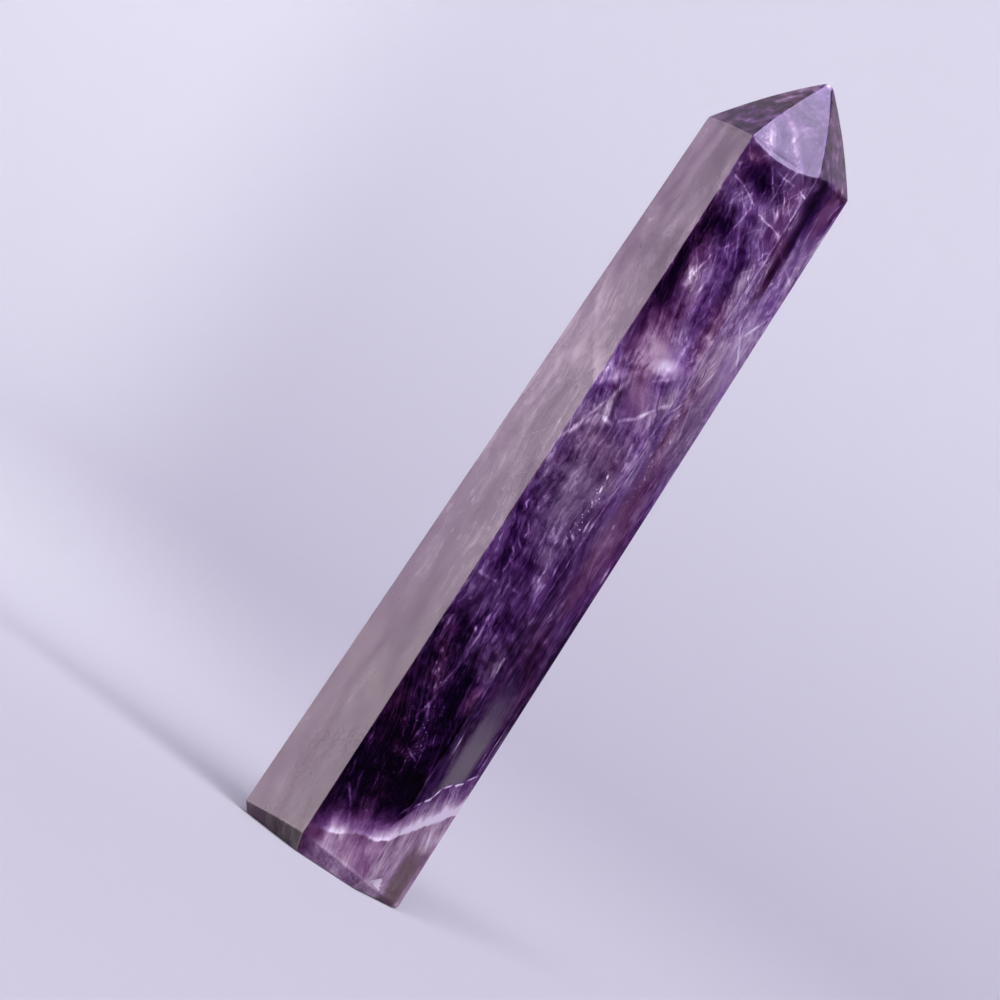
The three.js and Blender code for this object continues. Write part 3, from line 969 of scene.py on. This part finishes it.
def paper_material():
    """Pale lavender paper with painted light and shade: a little darker nearby, paler up the wall and on
    the left behind the stone.
    """
    material, shade, shader = new_material("pale lavender paper")
    spot = shade.node("TexCoord").outputs["Object"]
    across, away, up = shade.node("SeparateXYZ", {"Vector": spot}).outputs
    # Painted shade and light: darker on the floor nearby, paler up the wall.
    tint = shade.mix(shade.ramp(away, 0.3, -0.4), (0.60, 0.58, 0.68, 1), (0.55, 0.53, 0.62, 1))
    tint = shade.mix(shade.ramp(up, 0.0, 0.30), tint, (0.67, 0.655, 0.745, 1))
    # Painted light on the wall to the left behind the stone.
    painted_light_left = shade.times(shade.ramp(across, 0.03, -0.09), shade.ramp(away, -0.2, 0.45),
                            shade.ramp(across, -0.35, -0.12, 0.45, 1.0))
    tint = shade.mix(painted_light_left, tint, (0.775, 0.762, 0.85, 1))
    shade.feed(shader.inputs["Base Color"], tint)
    shader.inputs["Roughness"].default_value = 0.9
    return material


def studio_bowl():
    """The floor and the wall in one sweep: a flat, a quarter circle and an upright, turned round.

    Reflections don't see it, so that the lamps alone shape the polish. Glass looks through at it.
    """
    floor_radius = 1300.0
    bend = 900.0
    wall_top = 1500.0
    turn = np.linspace(0, np.pi / 2, 24)
    radii = np.concatenate([[150, 600], floor_radius + bend * np.sin(turn), [floor_radius + bend]])
    heights = np.concatenate([[0, 0], bend * (1 - np.cos(turn)), [wall_top]]) - 0.1
    around = np.linspace(0, 2 * np.pi, 96, endpoint=False)
    rings = np.stack(np.broadcast_arrays(
        radii[:, None] * np.cos(around), radii[:, None] * np.sin(around), heights[:, None]), axis=-1)
    index, turned = ring_indices(rings)
    quads = np.stack([index[:-1], index[1:], turned[1:], turned[:-1]], axis=-1).reshape(-1, 4)
    middle = np.stack([index[0], turned[0], np.full(len(around), index.size)], axis=-1)
    vertices = np.concatenate([rings.reshape(-1, 3), [[0.0, 0.0, heights[0]]]])
    bowl = mesh_object("studio_floor", vertices, quads.tolist() + middle.tolist(), paper_material())
    bowl.visible_glossy = False


def softbox(name, place, target, size, power):
    """A soft square lamp that looks at a point. Sizes are in metres."""
    lamp = bpy.data.lights.new(name, "AREA")
    lamp.shape = "RECTANGLE"
    lamp.size, lamp.size_y = size
    lamp.energy = power
    obj = bpy.data.objects.new(name, lamp)
    bpy.context.scene.collection.objects.link(obj)
    direction = np.array(target) - np.array(place)
    obj.location = place
    obj.rotation_euler = Vector(direction).to_track_quat("-Z", "Y").to_euler()
    obj.visible_camera = False
    obj.visible_glossy = False


def camera():
    """The photograph's view: almost level, a little to the left, and rolled so that the stone leans."""
    turn = math.radians(-4.57)
    pitch = math.radians(-0.27)
    roll = math.radians(33.28)
    distance = 1.0
    image_width = 1000
    pixels_per_metre = 6193.0
    sensor = 36.0
    back = np.array([math.sin(turn) * math.cos(pitch), -math.cos(turn) * math.cos(pitch), math.sin(pitch)])
    right = np.array([math.cos(turn), math.sin(turn), 0.0])
    up = np.cross(back, right)
    image_right = math.cos(roll) * right + math.sin(roll) * up
    image_up = -math.sin(roll) * right + math.cos(roll) * up
    target = right * -7.38 * MM + np.array([0, 0, 64.6 * MM])
    data = bpy.data.cameras.new("camera")
    data.sensor_width = sensor
    data.lens = pixels_per_metre * distance * sensor / image_width
    data.clip_start = 0.05
    data.clip_end = 20.0
    obj = bpy.data.objects.new("camera", data)
    bpy.context.scene.collection.objects.link(obj)
    axes = np.stack([image_right, image_up, back], axis=1)
    matrix = np.eye(4)
    matrix[:3, :3] = axes
    matrix[:3, 3] = target + back * distance
    obj.matrix_world = Matrix(matrix.tolist())
    bpy.context.scene.camera = obj


def world_light():
    """What the polish reflects: a dark room with a tall window to the left and a bright ceiling.

    Only reflections and the light that passes through the stone see it. The lamps light the rest.
    """
    world = bpy.data.worlds.new("room")
    bpy.context.scene.world = world
    world.use_nodes = True
    world.cycles_visibility.diffuse = False
    room = Pattern(world.node_tree)
    direction = room.node("TexCoord").outputs["Generated"]
    upper_back = room.ramp(room.vector("DOT_PRODUCT", direction, (0.0, 0.87, 0.5)), 0.65, 0.85)
    ceiling = room.ramp(room.vector("DOT_PRODUCT", direction, (0.0, -0.24, 0.97)), 0.85, 0.95)
    window = room.ramp(room.vector("DOT_PRODUCT", direction, (-0.94, 0.34, 0.0)), 0.86, 0.94)
    light = room.mix(ceiling, (0.02, 0.016, 0.024, 1), (5.6, 4.8, 7.7, 1))
    light = room.mix(window, light, (2.42, 1.81, 2.38, 1))
    background = world.node_tree.nodes["Background"]
    room.feed(background.inputs["Color"], room.mix(upper_back, light, (0.6, 0.5, 0.65, 1)))


camera()
studio_bowl()
world_light()
softbox("front", (0.3, -2.6, 2.2), (0, 0.9, 0.2), (3, 3), 283)
polished_stone(amethyst_material())
bpy.context.scene.view_settings.view_transform = "Standard"
